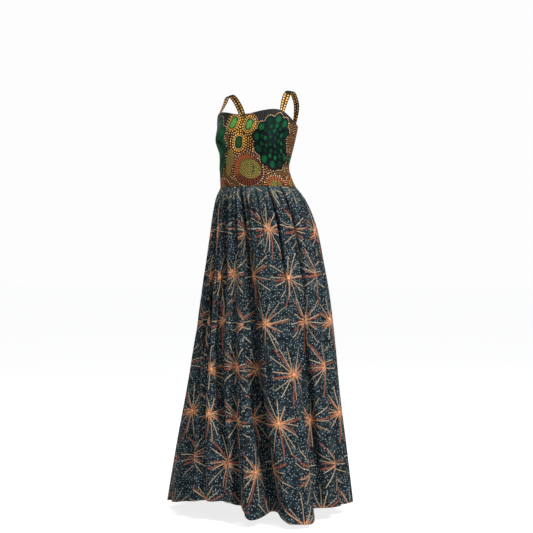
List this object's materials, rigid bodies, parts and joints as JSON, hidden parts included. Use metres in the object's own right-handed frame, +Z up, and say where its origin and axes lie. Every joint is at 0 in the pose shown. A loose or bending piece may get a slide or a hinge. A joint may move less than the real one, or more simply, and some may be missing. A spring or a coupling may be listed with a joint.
{
  "type": "full-length wax-print dress",
  "caption": "Worn full-length dress: sweetheart bodice with princess seams and shoulder straps, gathered flared skirt, and a zip up the centre back.",
  "frame": {"origin": "where the wearer's shoulders hold the dress up: midway between the two straps, at the height of their undersides on top of the shoulders", "axes": "+Z up; the front of the dress faces -Y; the wearer's left is +X"},
  "size_m": [0.6578, 0.5615, 1.4254],
  "materials": {
    "bodice_print": "matte printed cotton",
    "skirt_print": "matte printed cotton",
    "zip_tape": "woven tape",
    "zip_metal": "satin black enamel"
  },
  "bodies": {
    "dress": {"bodice_centre_front": "bodice_print", "bodice_side_front_left": "bodice_print", "bodice_side_front_right": "bodice_print", "bodice_back_left": "bodice_print", "bodice_back_right": "bodice_print", "strap_left": "bodice_print", "strap_right": "bodice_print", "skirt_front": "skirt_print", "skirt_back_left": "skirt_print", "skirt_back_right": "skirt_print", "zip_tape_left": "zip_tape", "zip_tape_right": "zip_tape", "zip_slider": "zip_metal"},
    "pull_tab": {"zip_pull": "zip_metal"}
  },
  "joints": [
    {"name": "pull_tab_swing", "type": "hinge", "parent": "dress", "child": "pull_tab", "pos_m": [-0.00511, 0.13399, -0.1349], "axis": [1, 0, 0], "range_deg": [-18, 150]}
  ]
}
